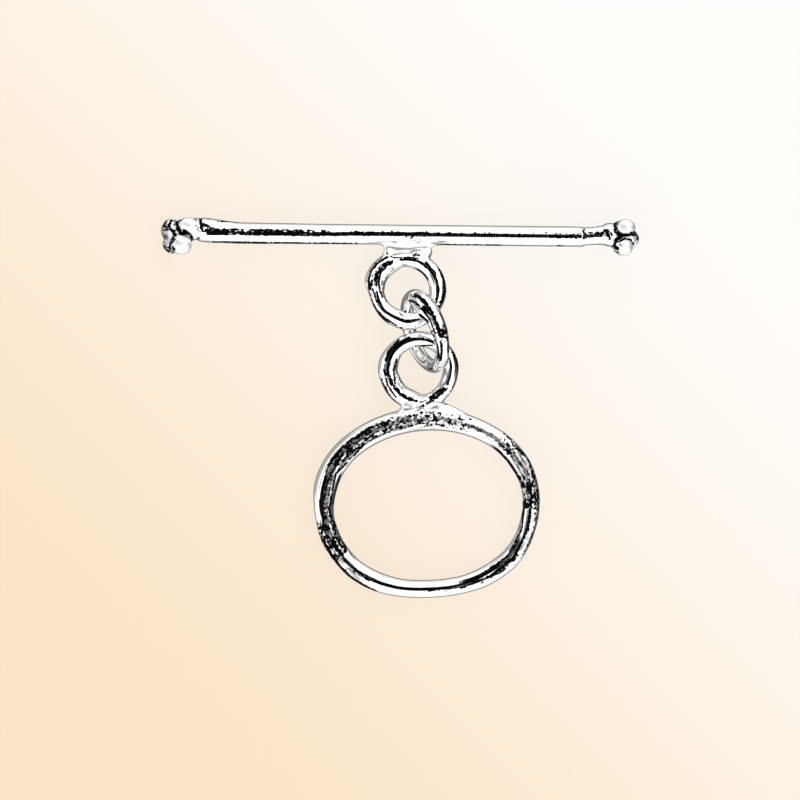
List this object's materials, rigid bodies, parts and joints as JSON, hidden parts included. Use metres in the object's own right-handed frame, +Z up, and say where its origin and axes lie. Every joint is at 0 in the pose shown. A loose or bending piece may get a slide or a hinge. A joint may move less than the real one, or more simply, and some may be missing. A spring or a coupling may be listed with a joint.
{
  "type": "toggle clasp",
  "caption": "Toggle clasp lying open: a straight rod with a cluster of small balls at each end, and an oval wire ring, joined by a jump ring through a soldered wire loop on each.",
  "frame": {"origin": "middle of the clasp's footprint, on the surface that it lies on", "axes": "+X along the bar to the right, +Y from the oval ring towards the bar, +Z up from the surface"},
  "size_m": [0.03, 0.0238, 0.0051],
  "materials": {
    "silver": "polished silver, hand-soldered, darkened in the recesses"
  },
  "bodies": {
    "root": {"toggle_bar": "silver", "connecting_link": "silver", "toggle_ring": "silver"}
  },
  "joints": []
}
